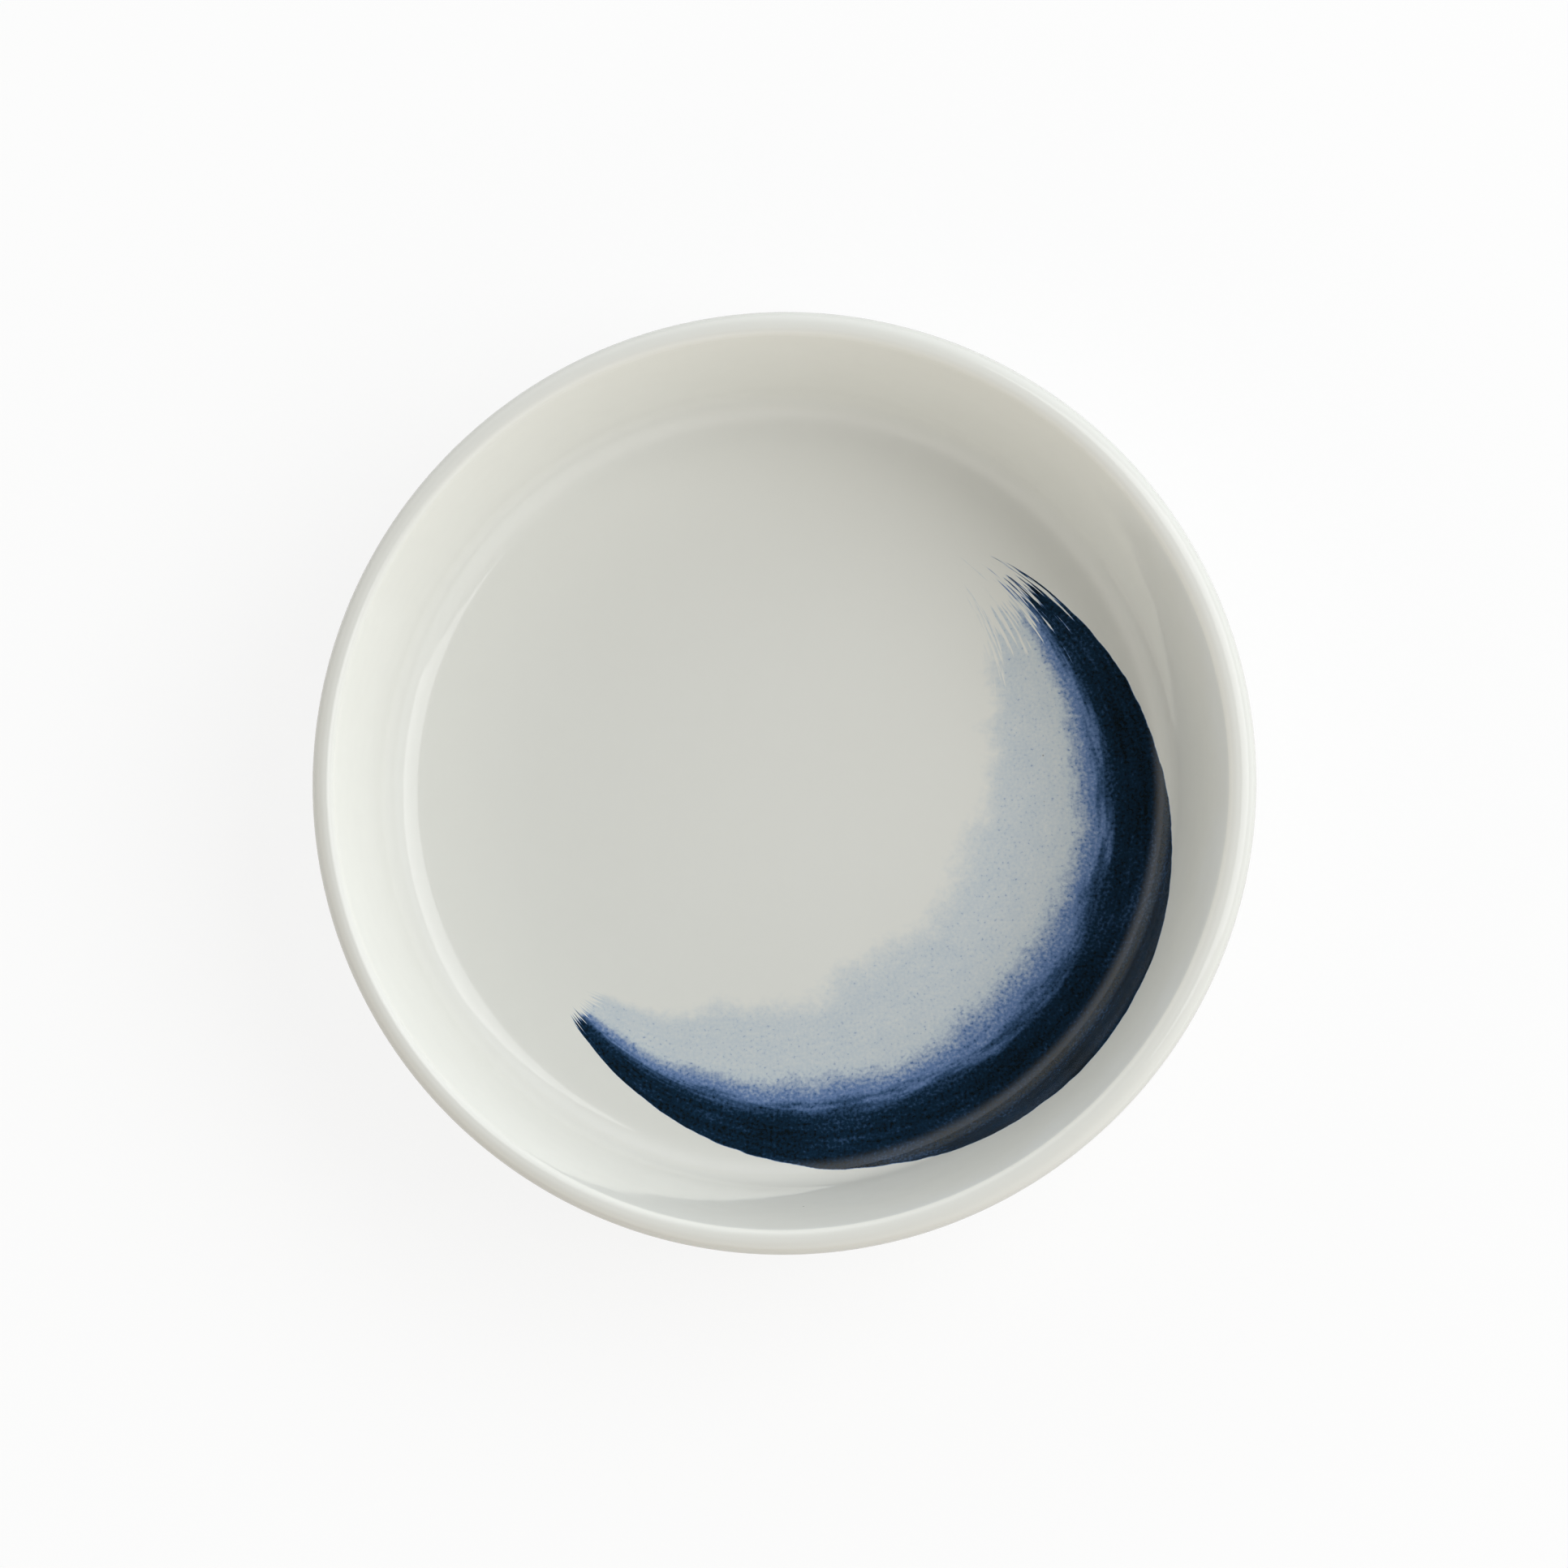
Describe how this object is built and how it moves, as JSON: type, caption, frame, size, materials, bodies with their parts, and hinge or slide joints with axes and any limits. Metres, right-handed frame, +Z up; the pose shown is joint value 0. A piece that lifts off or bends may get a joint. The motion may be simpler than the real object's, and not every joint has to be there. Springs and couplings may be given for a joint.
{
  "type": "soy sauce dish",
  "caption": "Small round glazed porcelain dish with a steep flared wall, full round lip and low foot ring, for soy sauce or condiments, with a brushed indigo crescent in the well.",
  "frame": {"origin": "centre of the circle that the foot ring rests on, on the table plane", "axes": "+Z up along the axis of the dish, +X to the right and +Y to the top of the picture"},
  "size_m": [0.1, 0.1, 0.025],
  "materials": {
    "bare_porcelain": "unglazed, fine and matt",
    "clear_glaze": "clear glaze over white porcelain, glossy",
    "indigo_ink": "dark indigo in the glaze, glossy",
    "blue_bleed": "mid blue in the glaze, glossy",
    "pale_wash": "pale grey blue in the glaze, glossy"
  },
  "bodies": {
    "root": {"porcelain_body": "bare_porcelain", "glaze_coat": "clear_glaze", "base_glaze": "clear_glaze", "ink_stroke": "indigo_ink", "blue_bleed": "blue_bleed", "pale_wash": "pale_wash"}
  },
  "joints": []
}
